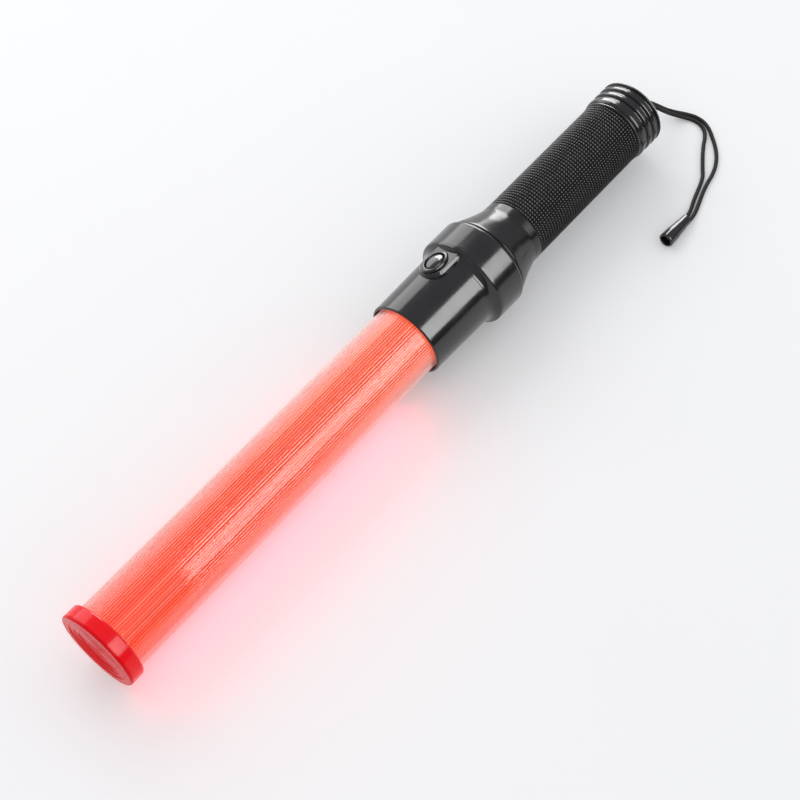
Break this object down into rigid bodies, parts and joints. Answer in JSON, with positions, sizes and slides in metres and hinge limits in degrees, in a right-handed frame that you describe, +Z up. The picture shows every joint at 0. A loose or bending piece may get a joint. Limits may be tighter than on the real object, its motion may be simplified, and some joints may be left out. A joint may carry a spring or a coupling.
{
  "type": "traffic baton light",
  "caption": "Handheld signal baton: glowing fluted tube with a red tip cap, black head with push button, squared-grip battery handle, screw-on tail cap and wrist strap.",
  "frame": {"origin": "on the ground under the middle of the baton's length, below its axis", "axes": "+X along the baton from the lit tip to the tail and wrist strap, +Z up; the baton lies on its collar with its axis level, and the button faces up, leaning 22.5 degrees towards +Y"},
  "size_m": [0.4661, 0.0906, 0.0539],
  "materials": {
    "clear_tube": "clear, pink-tinted, finely fluted",
    "red_film": "thin translucent film, lit from inside",
    "red_cap": "glossy translucent red moulding",
    "circuit_board": "solder mask over glass fibre",
    "lamp": "clear tinted lens",
    "white_plastic": "plain moulding",
    "black_gloss": "polished black moulding",
    "button_black": "polished black dome",
    "black_satin": "satin black moulding",
    "contact_brass": "stamped brass",
    "contact_steel": "plated steel",
    "cell_jacket": "printed jacket over the cell",
    "seal_rubber": "soft rubber",
    "cord_black": "tightly braided cord"
  },
  "bodies": {
    "baton": {"light_tube": "clear_tube", "colour_liner": "red_film", "tip_cap": "red_cap", "led_board": "circuit_board", "led_1": "lamp", "led_2": "lamp", "led_3": "lamp", "led_4": "lamp", "led_5": "lamp", "led_6": "lamp", "tip_support": "white_plastic", "base_support": "white_plastic", "head_shell": "black_gloss", "button_ring": "black_gloss", "switch_body": "black_satin", "switch_board": "circuit_board", "board_post_1": "white_plastic", "board_post_2": "white_plastic", "contact_disc": "white_plastic", "front_contact": "contact_brass", "handle": "black_satin", "cell_1": "cell_jacket", "cell_1_tip": "contact_steel", "cell_2": "cell_jacket", "cell_2_tip": "contact_steel", "return_strip": "contact_steel"},
    "button": {"push_button": "button_black", "switch_plunger": "white_plastic"},
    "strap": {"strap_ferrule": "black_satin", "wrist_cord_a": "cord_black", "wrist_cord_b": "cord_black", "cord_end": "black_gloss"},
    "cap": {"tail_cap": "black_gloss", "seal_ring": "seal_rubber", "tail_spring": "contact_steel", "spring_plate": "contact_brass"}
  },
  "joints": [
    {"name": "button_press", "type": "slide", "parent": "baton", "child": "button", "axis": [0, -0.3827, -0.9239], "range_m": [0, 0.0016], "stiffness_N_per_m": 1200},
    {"name": "cap_travel", "type": "slide", "parent": "baton", "child": "strap", "axis": [1, 0, 0], "range_m": [0, 0.0121]},
    {"name": "cap_turn", "type": "hinge", "parent": "strap", "child": "cap", "pos_m": [0.2, 0, 0.02697], "axis": [1, 0, 0], "range_deg": [0, 1440]}
  ],
  "couplings": [
    {"joint": "cap_travel", "follows": "cap_turn", "m_per_rad": 0.00047746}
  ]
}
